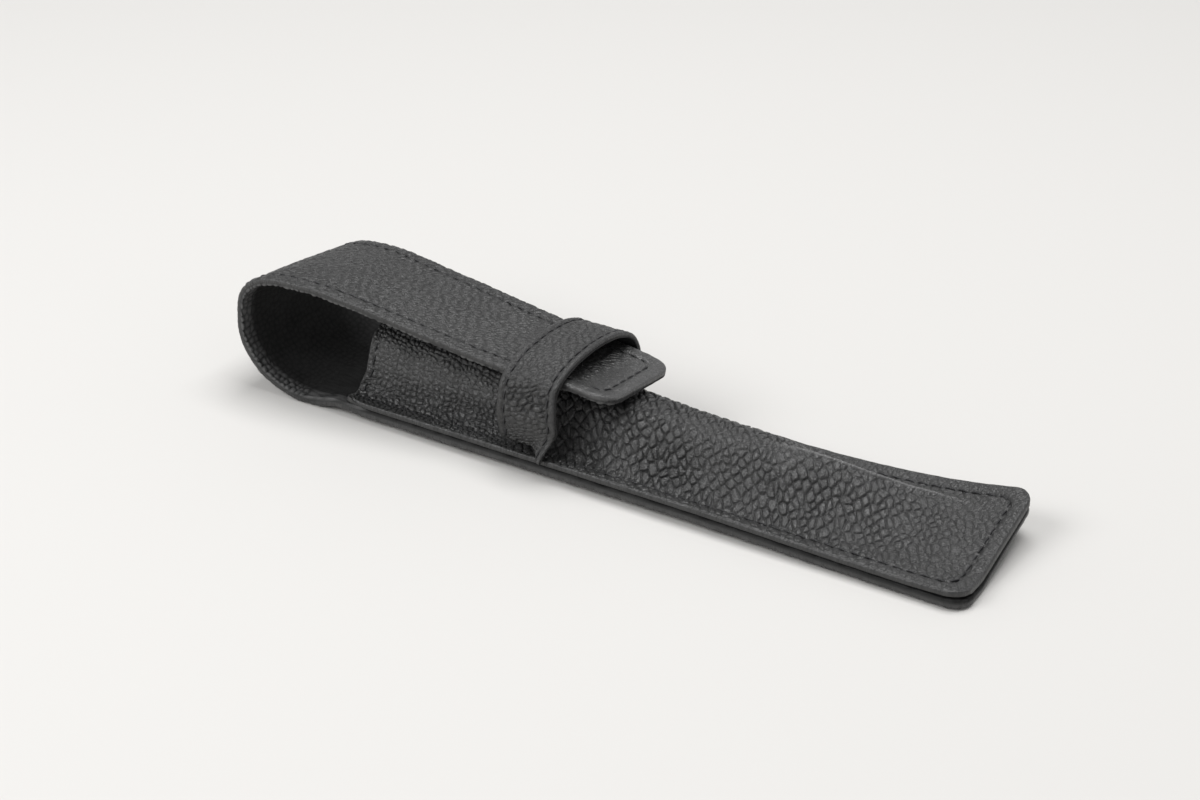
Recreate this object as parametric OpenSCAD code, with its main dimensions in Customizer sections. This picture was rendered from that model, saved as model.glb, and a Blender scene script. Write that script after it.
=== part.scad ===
// Single pen sleeve: a flat leather pocket whose long back strip folds over the mouth,
// and whose tongue is held by a strap. It lies on its back, as it does with a pen in it.
// X runs along the sleeve to the closed end, Y across it, Z up out of the front.

/* [Sleeve] */
// Length of the closed sleeve, from the outside of the fold to the closed end
sleeve_l = 175; // [160:1:195]
// Width of the sewn pocket
sleeve_w = 37.8; // [36:0.2:44]
// Radius of the two corners at the closed end
corner_r = 4.5; // [3:0.5:8]
// How far the sides of the pocket are drawn up by the bulge
edge_curl = 1.2; // [0:0.1:2]
// How far one corner of the closed end has curled up
corner_lift = 6; // [0:0.5:9]
// Length over which that corner curls up
lift_l = 57; // [40:1:70]
// Half the width of the flat strip of the back that lies on the table
rest_half = 9; // [5:0.5:12]

/* [Leather] */
// Thickness of the outer leather of the back strip
back_t = 1.1; // [0.8:0.1:1.4]
// Thickness of the lining of the back strip
back_lining_t = 0.8; // [0.5:0.1:1]
// Thickness of the outer leather of the front panel
front_t = 0.9; // [0.6:0.1:1.2]
// Thickness of the lining of the front panel
front_lining_t = 0.5; // [0.3:0.1:0.8]
// Thickness of the outer leather where the strip is pared down for the flap
flap_t = 0.9; // [0.6:0.1:1.1]
// Thickness of the lining of the flap
flap_lining_t = 0.6; // [0.4:0.1:0.8]
// Thickness of the outer leather of the strap
strap_t = 0.7; // [0.5:0.1:0.9]
// Thickness of the lining of the strap
strap_lining_t = 0.4; // [0.3:0.1:0.6]

/* [Pocket] */
// Distance from the outside of the fold to the mouth of the pocket
mouth_x = 28.5; // [26:0.5:34]
// Clear height inside the pocket at its mouth
mouth_h = 15.6; // [13:0.2:17]
// Clear height inside the pocket where its nose begins to close
nose_h = 9; // [7:0.2:11]
// Length of the nose, from there to the seam of the closed end
nose_l = 33; // [25:1:40]
// How far the ridge sags between the mouth and the nose
ridge_sag = 1; // [0:0.1:1.5]

/* [Fold] */
// Depth of the open fold, from its outside to where the strip lies flat
fold_l = 17.5; // [15:0.5:21]
// Height of the fold's crest above the table, in its middle
fold_h = 25.9; // [25:0.1:30]
// How much higher the crest is on the near side than on the far side
fold_tilt = 4.6; // [0:0.2:5]

/* [Flap] */
// Width of the flap where it leaves the fold
flap_w = 36.6; // [34:0.2:40]
// Width of the tongue
tongue_w = 26.8; // [24:0.2:28]
// How far the tongue reaches past the strap
tongue_reach = 10.2; // [8:0.2:14]
// Radius of the tongue's two corners
tongue_r = 4.5; // [2:0.5:6]
// How much higher the tongue's end is on the near side than on the far side
tongue_tilt = 2.2; // [0:0.2:3]
// How far the tongue's end dips below the strap's stretch
tongue_dip = 1.3; // [0:0.1:1.6]

/* [Strap] */
// Distance from the outside of the fold to the strap
strap_x = 68.5; // [62:0.5:78]
// Width of the strap
strap_w = 14; // [10:0.5:18]
// Height of the strap's crown above the seam, inside
strap_h = 19.8; // [19.8:0.1:22]
// Clear width between the strap's side walls
strap_gap = 33.8; // [33:0.2:35.6]
// How far the strap's crown leans to the near side
strap_lean = 0.6; // [0:0.1:1]

/* [Stitching] */
// Distance of the seam from the edge of the leather
seam_margin = 3.5; // [3:0.1:4.2]
// Distance of the strap's and the mouth's stitching from the edge
trim_margin = 1.7; // [1.3:0.1:2.2]
// Distance from one stitch to the next
stitch_pitch = 3; // [2.4:0.1:4]
// Length of one stitch
stitch_l = 2.3; // [1.6:0.1:2.3]
// Thickness of the thread
thread_d = 0.44; // [0.3:0.02:0.6]

/* [Hidden] */

// Bond line between two layers that are stuck together
bond = 0.05;
// Gap between soft pieces that move past each other
soft_gap = 0.3;
// Height of a thread's underside above the leather it lies on
thread_lift = 0.1;

// How far a thread stands proud of the leather; the fold's thread is part of the length
thread_proud = thread_lift + thread_d;
thread_up = thread_lift + thread_d / 2;
x_fold = (thread_proud - sleeve_l) / 2;
x_end = (thread_proud + sleeve_l) / 2;
x_crest = x_fold + fold_l;
x_mouth = x_fold + mouth_x;
x_strap = x_fold + strap_x;
x_strap_end = x_strap + strap_w;
x_tip = x_strap_end + tongue_reach;
x_seam_end = x_end - seam_margin;
x_nose = x_seam_end - nose_l;
half_w = sleeve_w / 2;
seam_y = half_w - seam_margin;
back_stack = back_t + bond + back_lining_t;
front_stack = front_lining_t + bond + front_t;
flap_stack = flap_t + bond + flap_lining_t;
strap_stack = strap_lining_t + bond + strap_t;

function mix(a, b, t) = a + (b - a) * t;
function limit(t) = min(1, max(0, t));
function ease(t) = let (c = limit(t)) c * c * (3 - 2 * c);
// A ramp of slope 1 whose start is rounded over the length w
function soft_ramp(d, w) = d <= 0 ? 0 : d < w ? d * d / (2 * w) : d - w / 2;
function unit(v) = v / norm(v);
function reversed(list) = [for (i = [len(list) - 1:-1:0]) list[i]];

// Half the width at x of a panel with rounded corners at its end
function rounded_half(x, half, end, r) =
    x <= end - r ? half : half - r + sqrt(max(0, r * r - pow(x - end + r, 2)));

// Underside of the back: flat in the middle, sides drawn up, one corner curled up
curl_start_l = 12;
curl_fade = 0.7;
curl_fade_l = 60;
x_curl_fade = x_end - 67.5;
function curl_at(x) =
    edge_curl * ease((x - x_crest) / curl_start_l)
    * (1 - curl_fade * ease((x - x_curl_fade) / curl_fade_l));
function lift_at(x) = corner_lift * pow(limit((x - x_end + lift_l) / lift_l), 2);
function back_z(x, y) =
    curl_at(x) * pow(max(0, abs(y) - rest_half) / (half_w - rest_half), 2)
    + lift_at(x) * max(0, y + rest_half) / (half_w + rest_half);

// Clear height of the pocket along its ridge
function ridge_h(x) =
    let (run = (x - x_mouth) / (x_nose - x_mouth))
    (mix(mouth_h, nose_h, run) - ridge_sag * sin(180 * limit(run)))
    * (1 - ease((x - x_nose) / nose_l));
// Share of that height across the pocket: steep walls at the mouth, a soft swell at the nose.
// Each pair holds for the mouth and for the nose; widths are shares of the way to the seam.
dome_drop = [0.6, 0.2];
wall_start = [0.5, 0.06];
wall_width = [0.38, 0.94];
function along_ridge(pair, run) = mix(pair[0], pair[1], run);
function swell(x, y) =
    let (run = limit((x - x_mouth) / (x_nose - x_mouth)), s = abs(y) / seam_y)
    (1 - along_ridge(dome_drop, run) * min(1, s * s))
    * (1 - ease((s - along_ridge(wall_start, run)) / along_ridge(wall_width, run)));
function pocket_z(x, y) = back_z(x, y) + back_stack + bond + ridge_h(x) * swell(x, y);

// Point of the front panel over (x, y), a depth d out from its inner face
function front_point(x, y, d) =
    let (e = 0.05,
         sx = (pocket_z(x + e, y) - pocket_z(x - e, y)) / (2 * e),
         sy = (pocket_z(x, y + e) - pocket_z(x, y - e)) / (2 * e))
    [x, y, pocket_z(x, y)] + d * unit([-sx, -sy, 1]);

// Outline of the fold's outside: a squarer crest over a rounder belly
belly_share = 0.54;
crest_power = 2 / 2.9;
function crest_z(y) = fold_h - fold_tilt / 2 * y / half_w;
function fold_edge(a, y) =
    let (belly = belly_share * crest_z(y), power = a < 0 ? 1 : crest_power,
         top = crest_z(y) - belly)
    [x_crest - fold_l * pow(cos(a), power),
     belly + (a < 0 ? belly * sin(a) : top * pow(sin(a), power))];
function fold_point(a, y, d) =
    let (e = 0.5,
         p = fold_edge(a, y),
         along = abs(a) > 89 ? [a, 0] : fold_edge(a + e, y) - fold_edge(a - e, y),
         n = unit([along.y, -along.x]))
    [p.x + d * n.x, y, p.y + d * n.y];

// Top of the flap: down from the crest, nearly level through the strap, then a dip
strap_top = back_stack + front_stack + strap_h;
flap_level = strap_top - 3.25;
x_level = x_strap - 3;
flap_bend_l = 6;
tongue_bend_l = 4;
strap_slope = 0.05;
tilt_left = 0.1;
flap_fall = (fold_h - flap_level) / (x_level - x_crest);
function flap_run(x) = (x - x_crest) / (x_strap - x_crest);
function flap_mid_z(x) =
    fold_h - flap_fall * soft_ramp(x - x_crest, flap_bend_l)
    + (flap_fall - strap_slope) * soft_ramp(x - x_level, flap_bend_l)
    - tongue_dip / tongue_reach * soft_ramp(x - x_strap_end, tongue_bend_l);
function flap_tilt(x) =
    fold_tilt * (1 - (1 - tilt_left) * ease(flap_run(x)))
    + (tongue_tilt - tilt_left * fold_tilt) * ease((x - x_strap) / (x_tip - x_strap));
function flap_z(x, y) =
    flap_mid_z(x) - flap_tilt(x) * y / mix(sleeve_w, tongue_w, limit(flap_run(x)));
function flap_side(x) = mix(flap_w, tongue_w, limit(flap_run(x))) / 2;
function flap_half(x) = rounded_half(x, flap_side(x), x_tip, tongue_r);
function flap_point(x, y, d) = [x, y, flap_z(x, y) - d];

// A closed sheet from a grid of lower points and the matching grid of upper points
module sheet(lower, upper) {
    rows = len(lower);
    cols = len(lower[0]);
    count = rows * cols;
    points = concat([for (row = lower) each row], [for (row = upper) each row]);
    function at(i, j) = i * cols + j;
    skins = [for (i = [0:rows - 2]) for (j = [0:cols - 2])
        let (a = at(i, j), b = at(i, j + 1), c = at(i + 1, j + 1), d = at(i + 1, j))
        each [[a, c, b], [a, d, c], [a + count, b + count, c + count],
              [a + count, c + count, d + count]]];
    rim = concat([for (j = [0:cols - 1]) at(0, j)],
                 [for (i = [1:rows - 1]) at(i, cols - 1)],
                 [for (j = [cols - 2:-1:0]) at(rows - 1, j)],
                 [for (i = [rows - 2:-1:1]) at(i, 0)]);
    walls = [for (k = [0:len(rim) - 1])
        let (p = rim[k], q = rim[(k + 1) % len(rim)])
        each [[p, q, q + count], [p, q + count, p + count]]];
    polyhedron(points, concat(skins, walls), convexity = 6);
}

// Stations along and across the pocket; the margins share theirs, so the layers lie flat
corner_steps = [12, 35, 60, 90];
function corner_stations(end, r) = [for (a = corner_steps) end - r + r * sin(a)];
function evenly(a, b, step) =
    let (n = max(1, ceil((b - a) / step))) [for (i = [0:n - 1]) mix(a, b, i / n)];
wide_step = 9;
close_step = 4.5;
fine_step = 3;
x_close = x_nose - 20;
nose_stations = concat(evenly(x_close, x_end - corner_r, close_step), [x_end - corner_r],
                       corner_stations(x_end, corner_r));
pocket_stations = concat(evenly(x_mouth, x_close, wide_step), nose_stations);
back_stations = concat(evenly(x_crest, x_mouth, fine_step), pocket_stations);
margin_lines = [seam_y, half_w - seam_margin / 2, half_w];
back_half_lines = concat([0, rest_half, (rest_half + seam_y) / 2], margin_lines);
front_half_lines = concat([for (i = [0:10]) seam_y * i / 11], margin_lines);
function both_sides(lines) = concat([for (i = [len(lines) - 1:-1:1]) -lines[i]], lines);
function pocket_y(x, line) = line / half_w * rounded_half(x, half_w, x_end, corner_r);

function back_grid(d) = [for (x = back_stations)
    [for (line = both_sides(back_half_lines))
        let (y = pocket_y(x, line)) [x, y, back_z(x, y) + d]]];
function front_grid(d) = [for (x = pocket_stations)
    [for (line = both_sides(front_half_lines)) front_point(x, pocket_y(x, line), d)]];

module back_outer() {
    color([0.15, 0.15, 0.16])
    sheet(back_grid(0), back_grid(back_t));
}

module back_lining() {
    color([0.1, 0.1, 0.11])
    sheet(back_grid(back_t + bond), back_grid(back_stack));
}

module front_lining() {
    color([0.1, 0.1, 0.11])
    sheet(front_grid(0), front_grid(front_lining_t));
}

module front_outer() {
    color([0.17, 0.17, 0.18])
    sheet(front_grid(front_lining_t + bond), front_grid(front_stack));
}

// The fold: the strip's thickness goes over from the back's to the flap's along it
fold_angles = [-90, -80, -70, -60, -50, -40, -30, -20, -10, 0, 6, 14, 24, 35, 47, 58, 68, 78, 90];
fold_shares = both_sides([0, 1 / 3, 2 / 3, 1]);
function fold_depth(a, back_d, flap_d) = mix(back_d, flap_d, (a + 90) / 180);
function fold_half(a) = mix(sleeve_w, flap_w, (a + 90) / 180) / 2;
function fold_grid(back_d, flap_d) = [for (a = fold_angles)
    [for (share = fold_shares)
        fold_point(a, share * fold_half(a), fold_depth(a, back_d, flap_d))]];

module fold_outer() {
    color([0.16, 0.16, 0.17])
    sheet(fold_grid(back_t, flap_t), fold_grid(0, 0));
}

module fold_lining() {
    color([0.1, 0.1, 0.11])
    sheet(fold_grid(back_stack, flap_stack), fold_grid(back_t + bond, flap_t + bond));
}

// The flap and its tongue
x_flap = x_crest + soft_gap;
flap_stations = concat(evenly(x_flap, x_level, 2 * fine_step),
                       evenly(x_level, x_tip - tongue_r, fine_step),
                       [x_tip - tongue_r], corner_stations(x_tip, tongue_r));
flap_shares = [-1, -0.5, 0, 0.5, 1];
function flap_grid(d) = [for (x = flap_stations)
    [for (s = flap_shares) flap_point(x, s * flap_half(x), d)]];

module flap_outer() {
    color([0.17, 0.17, 0.18])
    sheet(flap_grid(flap_t), flap_grid(0));
}

module flap_lining() {
    color([0.1, 0.1, 0.11])
    sheet(flap_grid(flap_stack), flap_grid(flap_t + bond));
}

// The strap: its feet lie on the seam margins, its walls stand clear of the bulge
strap_foot_z = pocket_z(x_strap + strap_w / 2, half_w) + front_stack;
strap_wall = strap_gap / 2;
// Inside of the strap from its foot, up the wall and over the shoulder to the crown
strap_keys = [
    [half_w - 1.1, strap_foot_z + 0.15],
    [half_w - 1.4, strap_foot_z + 1.6],
    [strap_wall - 0.4, strap_foot_z + 4.5],
    [strap_wall, mix(strap_foot_z, strap_top, 0.5)],
    [strap_wall - 1.2, strap_top - 4.8],
    [strap_wall - 2.8, strap_top - 3.0],
    [strap_wall - 5.6, strap_top - 1.7],
    [strap_wall - 10.1, strap_top - 0.5],
    [0, strap_top]];
lean_h = 8;
function leaned(p, side) =
    [side * p.x - strap_lean * ease((p.y - strap_foot_z) / lean_h), p.y];
strap_path = concat([for (p = strap_keys) leaned(p, -1)],
                    [for (i = [len(strap_keys) - 2:-1:0]) leaned(strap_keys[i], 1)]);

// A smooth curve through a list of points
function curve_point(p0, p1, p2, p3, t) =
    0.5 * (2 * p1 + (p2 - p0) * t + (2 * p0 - 5 * p1 + 4 * p2 - p3) * t * t
           + (3 * p1 - p0 - 3 * p2 + p3) * t * t * t);
function curve(p, steps) =
    let (n = len(p) - 1)
    concat([for (i = [0:n - 1]) for (k = [0:steps - 1])
        curve_point(p[max(0, i - 1)], p[i], p[i + 1], p[min(n, i + 2)], k / steps)], [p[n]]);
curve_steps = 4;
strap_line = curve(strap_path, curve_steps);

// The same line moved a distance d to its left side
function beside(line, d) =
    let (n = len(line) - 1)
    [for (i = [0:n])
        let (v = unit(line[min(n, i + 1)] - line[max(0, i - 1)])) line[i] + d * [-v.y, v.x]];

module strap_layer(inner, outer) {
    translate([x_strap, 0, 0])
    rotate([90, 0, 90])
    linear_extrude(strap_w)
    polygon(concat(beside(strap_line, inner), reversed(beside(strap_line, outer))));
}

module strap_outer() {
    color([0.18, 0.18, 0.19])
    strap_layer(strap_lining_t + bond, strap_stack);
}

module strap_lining() {
    color([0.1, 0.1, 0.11])
    strap_layer(0, strap_lining_t);
}

// Running length up to each point of a path, and the point at a length along it
function lengths(path, i = 0, sum = 0) =
    i == len(path) - 1 ? [sum]
    : concat([sum], lengths(path, i + 1, sum + norm(path[i + 1] - path[i])));
function point_at(path, run, s) =
    let (i = max([for (k = [0:len(run) - 2]) if (run[k] <= s) k]))
    mix(path[i], path[i + 1], (s - run[i]) / (run[i + 1] - run[i]));

// Separate stitches along a path
module stitches(path) {
    run = lengths(path);
    total = run[len(run) - 1];
    count = floor((total - stitch_l) / stitch_pitch) + 1;
    start = (total - (count - 1) * stitch_pitch - stitch_l) / 2;
    color([0.07, 0.07, 0.08])
    for (i = [0:count - 1]) {
        a = point_at(path, run, start + i * stitch_pitch);
        b = point_at(path, run, start + i * stitch_pitch + stitch_l);
        v = b - a;
        translate(a)
        rotate([0, acos(v.z / norm(v)), atan2(v.y, v.x)])
        cylinder(h = norm(v), d = thread_d, $fn = 6);
    }
}

// Seam round three sides of the pocket; it passes over the strap's feet hidden by its walls
seam_corner = max(corner_r - seam_margin, 1);
seam_side = [for (x = evenly(x_mouth + trim_margin, x_seam_end - seam_corner, fine_step))
    [x, seam_y]];
seam_turn = [for (a = [0:30:90])
    [x_seam_end - seam_corner, seam_y - seam_corner] + seam_corner * [sin(a), cos(a)]];
seam_end_row = [for (y = evenly(seam_y - seam_corner - 2, 0, fine_step)) [x_seam_end, y]];
seam_half = concat(seam_side, seam_turn, seam_end_row);
function seam_lifted(list) = [for (p = list) front_point(p.x, p.y, front_stack + thread_up)];
strap_clear = strap_stack + soft_gap;

module seam_thread() {
    for (side = [-1, 1]) {
        before = [for (p = seam_half) if (p.x < x_strap - strap_clear) [p.x, side * p.y]];
        after = [for (p = seam_half) if (p.x > x_strap_end + strap_clear) [p.x, side * p.y]];
        stitches(seam_lifted(before));
        stitches(seam_lifted(after));
    }
}

module mouth_thread() {
    x = x_mouth + trim_margin;
    stitches([for (i = [-20:20]) front_point(x, (seam_y - 1.5) * i / 20,
                                             front_stack + thread_up)]);
}

module strap_thread() {
    line = beside(strap_line, strap_stack + thread_up);
    for (x = [x_strap + trim_margin, x_strap_end - trim_margin])
        stitches([for (p = line) [x, p.x, p.y]]);
}

module fold_thread() {
    for (side = [-1, 1])
        stitches([for (a = fold_angles)
            if (a > -70) fold_point(a, side * (fold_half(a) - seam_margin), -thread_up)]);
}

// Stitching round the flap and the tongue, on its outside
tongue_turn = max(tongue_r - seam_margin, 1);
tongue_row = tongue_w / 2 - seam_margin;
x_row_end = x_tip - seam_margin;
x_row_turn = x_row_end - tongue_turn;
flap_row = [for (x = evenly(x_flap, x_row_turn, fine_step)) [x, flap_side(x) - seam_margin]];
flap_turn = [for (a = [0:30:90])
    [x_row_turn, tongue_row - tongue_turn] + tongue_turn * [sin(a), cos(a)]];
flap_half_row = concat(flap_row, flap_turn, [[x_row_end, 0]]);
flap_loop = concat(flap_half_row,
                   [for (p = reversed(flap_half_row)) if (p.y > 0) [p.x, -p.y]]);

module flap_thread() {
    stitches([for (p = flap_loop) flap_point(p.x, p.y, -thread_up)]);
}

back_outer();
back_lining();
front_outer();
front_lining();
seam_thread();
mouth_thread();
strap_outer();
strap_lining();
strap_thread();
fold_outer();
fold_lining();
fold_thread();
flap_outer();
flap_lining();
flap_thread();
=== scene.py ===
import math

import bmesh
import bpy
import numpy as np
from mathutils import Matrix, Vector


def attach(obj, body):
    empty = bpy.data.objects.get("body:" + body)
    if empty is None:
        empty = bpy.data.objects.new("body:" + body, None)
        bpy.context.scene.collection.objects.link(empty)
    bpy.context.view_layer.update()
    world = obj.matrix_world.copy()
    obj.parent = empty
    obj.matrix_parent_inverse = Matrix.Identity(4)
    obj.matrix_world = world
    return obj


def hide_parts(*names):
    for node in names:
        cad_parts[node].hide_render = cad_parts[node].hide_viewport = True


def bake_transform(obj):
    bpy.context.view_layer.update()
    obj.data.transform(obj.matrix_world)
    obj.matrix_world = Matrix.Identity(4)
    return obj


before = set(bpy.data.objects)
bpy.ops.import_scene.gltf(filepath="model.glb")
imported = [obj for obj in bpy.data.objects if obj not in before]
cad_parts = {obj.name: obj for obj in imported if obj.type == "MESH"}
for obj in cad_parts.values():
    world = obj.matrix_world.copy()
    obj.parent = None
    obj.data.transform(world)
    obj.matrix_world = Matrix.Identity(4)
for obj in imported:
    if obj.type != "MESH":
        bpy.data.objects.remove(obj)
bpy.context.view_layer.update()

# -------------------------------------------- sizes, in mm, as in the CAD source
SLEEVE_L, SLEEVE_W, CORNER_R = 175.0, 37.8, 4.5
EDGE_CURL, CORNER_LIFT, LIFT_L, REST_HALF = 1.2, 6.0, 57.0, 9.0
CURL_START_L, CURL_FADE, CURL_FADE_FROM, CURL_FADE_L = 12.0, 0.7, 67.5, 60.0
BACK_T, BACK_LINING_T = 1.1, 0.8
FRONT_T, FRONT_LINING_T = 0.9, 0.5
FLAP_T, FLAP_LINING_T = 0.9, 0.6
STRAP_T, STRAP_LINING_T = 0.7, 0.4
MOUTH_X, MOUTH_H, NOSE_H, NOSE_L, RIDGE_SAG = 28.5, 15.6, 9.0, 33.0, 1.0
# shares of the way to the seam, at the pocket's mouth and at its nose
DOME_DROP, WALL_START, WALL_WIDTH = (0.6, 0.2), (0.5, 0.06), (0.38, 0.94)
FOLD_L, FOLD_H, FOLD_TILT, BELLY_SHARE, CREST_POWER = 17.5, 25.9, 4.6, 0.54, 2 / 2.9
FLAP_W, FLAP_DROP, FLAP_BEND_L = 36.6, 3.25, 6.0
TONGUE_W, TONGUE_REACH, TONGUE_R, TONGUE_TILT, TONGUE_DIP = 26.8, 10.2, 4.5, 2.2, 1.3
TONGUE_BEND_L, STRAP_SLOPE, TILT_LEFT = 4.0, 0.05, 0.1
STRAP_X, STRAP_W, STRAP_H, STRAP_GAP, STRAP_LEAN = 68.5, 14.0, 19.8, 33.8, 0.6
SEAM_MARGIN, TRIM_MARGIN = 3.5, 1.7
STITCH_PITCH, STITCH_L, THREAD_R, THREAD_PROUD = 3.0, 2.3, 0.22, 0.54
BOND = 0.05

# -------------------------------------------- what the finished leather adds, in mm
# the back: a wave of its near edge beside the mouth, and a closed end that is cut askew
WAVE_H, WAVE_L, WAVE_BEFORE = 0.55, 4.5, 2.0
END_SLANT, END_SLANT_L = 0.9, 25.0
# the fold: it bows up across its width, stands out, and its far edge turns up over an angle
ARCH, FAR_RISE, FOLD_PUFF = 0.6, 0.25, 0.8
FAR_CURL, FAR_CURL_ANGLE = 1.3, 1.2
# the panel: its ridge rises a little, falls early, then sharpens and swings to the far seam;
# a pinched line runs along it, its walls have a fillet at their foot, and its seam turns
RIDGE_RISE, NOSE_EARLY, NOSE_LONGER = 0.5, 11.0, 5.0
NOSE_SWING, SWING_EARLY, SWING_L, SHARPEN_L, FAR_STEEPNESS = 12.0, 15.0, 42.0, 18.0, 1.9
RIDGE_FROM, RIDGE_TO = 31.0, 77.0
FOOT_R, SEAM_TURN_R = 2.0, 6.5
# the tongue sags past the strap and its near corner curls up; the strap's feet are drawn along
TONGUE_SAG, TONGUE_CURL = 0.5, 0.6
FOOT_SHIFT = 2.0

# -------------------------------------------- detail of the skins, in mm
SKIN_STEP = 0.18
GROOVE_W, PIT_R, PIT_DEPTH = 0.4, 0.4, 0.14
# a height that parts the back from the flap above it
MID_H = 14.0

X_FOLD = (THREAD_PROUD - SLEEVE_L) / 2
X_END = (THREAD_PROUD + SLEEVE_L) / 2
X_CREST = X_FOLD + FOLD_L
X_MOUTH = X_FOLD + MOUTH_X
X_STRAP = X_FOLD + STRAP_X
X_STRAP_END = X_STRAP + STRAP_W
X_TIP = X_STRAP_END + TONGUE_REACH
X_NOSE = X_END - SEAM_MARGIN - NOSE_L
HALF_W = SLEEVE_W / 2
SEAM_Y = HALF_W - SEAM_MARGIN
BACK_STACK = BACK_T + BOND + BACK_LINING_T
FRONT_STACK = FRONT_LINING_T + BOND + FRONT_T
FLAP_STACK = FLAP_T + BOND + FLAP_LINING_T
STRAP_STACK = STRAP_LINING_T + BOND + STRAP_T
STRAP_TOP = BACK_STACK + FRONT_STACK + STRAP_H
FLAP_LEVEL = STRAP_TOP - FLAP_DROP
X_LEVEL = X_STRAP - 3
FLAP_FALL = (FOLD_H - FLAP_LEVEL) / (X_LEVEL - X_CREST)


def mix(a, b, t):
    return a + (b - a) * t


def ease(t):
    c = np.clip(t, 0, 1)
    return c * c * (3 - 2 * c)


def soft_ramp(d, w):
    return np.where(d <= 0, 0, np.where(d < w, d * d / (2 * w), d - w / 2))


def unit(v):
    return v / np.maximum(np.linalg.norm(v, axis=-1, keepdims=True), 1e-12)


def bell(d, width):
    return np.exp(-(d / width) ** 2)


def running(steps):
    """Length run at each point of a path, from the steps between them."""
    return np.concatenate([[0], np.cumsum(steps)])


def run_along(points):
    return running(np.linalg.norm(np.diff(points, axis=0), axis=1))


# -------------------------------------------- shapes shared with the CAD source
def rounded_half(x, half, end, r):
    """Half the width at x of a sheet with rounded corners at its end."""
    return np.where(x <= end - r, half,
                    half - r + np.sqrt(np.maximum(0, r * r - np.maximum(0, x - end + r) ** 2)))


def back_z(x, y):
    """Underside of the back: flat in the middle, sides drawn up, one corner curled up."""
    curl = (EDGE_CURL * ease((x - X_CREST) / CURL_START_L)
            * (1 - CURL_FADE * ease((x - X_END + CURL_FADE_FROM) / CURL_FADE_L)))
    lift = CORNER_LIFT * np.clip((x - X_END + LIFT_L) / LIFT_L, 0, 1) ** 2
    wave = WAVE_H * bell(x - X_MOUTH + WAVE_BEFORE, WAVE_L) * ease((-y - 11) / 8)
    return (curl * (np.maximum(0, np.abs(y) - REST_HALF) / (HALF_W - REST_HALF)) ** 2
            + lift * np.maximum(0, y + REST_HALF) / (HALF_W + REST_HALF) + wave)


def swing_of(x):
    """How far the ridge has swung towards the far seam."""
    return NOSE_SWING * ease((x - X_NOSE + SWING_EARLY) / SWING_L)


def pocket_z(x, y):
    """Inside of the front panel: steep walls at the mouth, a sharper ridge at the nose."""
    run = (x - X_MOUTH) / (X_NOSE - X_MOUTH)
    ridge = ((mix(MOUTH_H, NOSE_H, run) - RIDGE_SAG * np.sin(math.pi * np.clip(run, 0, 1))
              + RIDGE_RISE * ease((x - 15) / 20))
             * (1 - ease((x - X_NOSE + NOSE_EARLY) / (NOSE_L + NOSE_LONGER))))
    run = np.clip(run, 0, 1)
    swing = swing_of(x)
    s = np.where(y > swing, (y - swing) / (SEAM_Y - swing), (swing - y) / (SEAM_Y + swing))
    swell = ((1 - mix(*DOME_DROP, run) * np.minimum(1, s * s))
             * (1 - ease((s - mix(*WALL_START, run)) / mix(*WALL_WIDTH, run))))
    c = np.clip(s, 0, 1)
    sharp = np.where(y > swing, (1 - c) ** FAR_STEEPNESS, 1 - 0.5 * c - 0.5 * ease(c))
    swell = mix(swell, sharp, ease((x - X_NOSE + SWING_EARLY) / SHARPEN_L))
    return back_z(x, y) + BACK_STACK + BOND + ridge * swell


def arch(y):
    """How far the leather bows up across its width over the crest."""
    return ARCH * (1 - (y / HALF_W) ** 2) + FAR_RISE * ease((y - 4) / 12)


def fold_xz(a, y):
    """Outside of the fold at the angle a: a squarer crest over a rounder belly."""
    crest = FOLD_H - FOLD_TILT / 2 * y / HALF_W + arch(y)
    belly = BELLY_SHARE * crest
    c, s = np.cos(a), np.sin(a)
    out = np.where(a < 0, c, np.maximum(c, 0) ** CREST_POWER)
    up = np.where(a < 0, belly * (1 + s),
                  belly + (crest - belly) * np.maximum(s, 0) ** CREST_POWER)
    curled = np.sin(math.pi * np.clip((a + math.pi / 2) / FAR_CURL_ANGLE, 0, 1)) ** 2
    return (X_CREST - (FOLD_L + FOLD_PUFF) * out,
            up + FAR_CURL * ease((y - 9) / 9) * curled)


def flap_run(x):
    return (x - X_CREST) / (X_STRAP - X_CREST)


def flap_side(x):
    return mix(FLAP_W, TONGUE_W, np.clip(flap_run(x), 0, 1)) / 2


def flap_z(x, y):
    """Top of the flap: down from the crest, nearly level through the strap, then a dip."""
    mid = (FOLD_H - FLAP_FALL * soft_ramp(x - X_CREST, FLAP_BEND_L)
           + (FLAP_FALL - STRAP_SLOPE) * soft_ramp(x - X_LEVEL, FLAP_BEND_L)
           - TONGUE_DIP / TONGUE_REACH * soft_ramp(x - X_STRAP_END, TONGUE_BEND_L))
    tilt = (FOLD_TILT * (1 - (1 - TILT_LEFT) * ease(flap_run(x)))
            + (TONGUE_TILT - TILT_LEFT * FOLD_TILT) * ease((x - X_STRAP) / (X_TIP - X_STRAP)))
    sag = TONGUE_SAG * bell(x - X_STRAP_END - 2, 3.2) * (1 - np.minimum(1, (y / 11) ** 2))
    curl = TONGUE_CURL * ease((-y - 7) / 6) * ease((x - X_STRAP - 7) / 8)
    bow = arch(y) * (1 - ease(flap_run(x)))
    return (mid - tilt * y / mix(SLEEVE_W, TONGUE_W, np.clip(flap_run(x), 0, 1))
            - sag + curl + bow)


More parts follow.
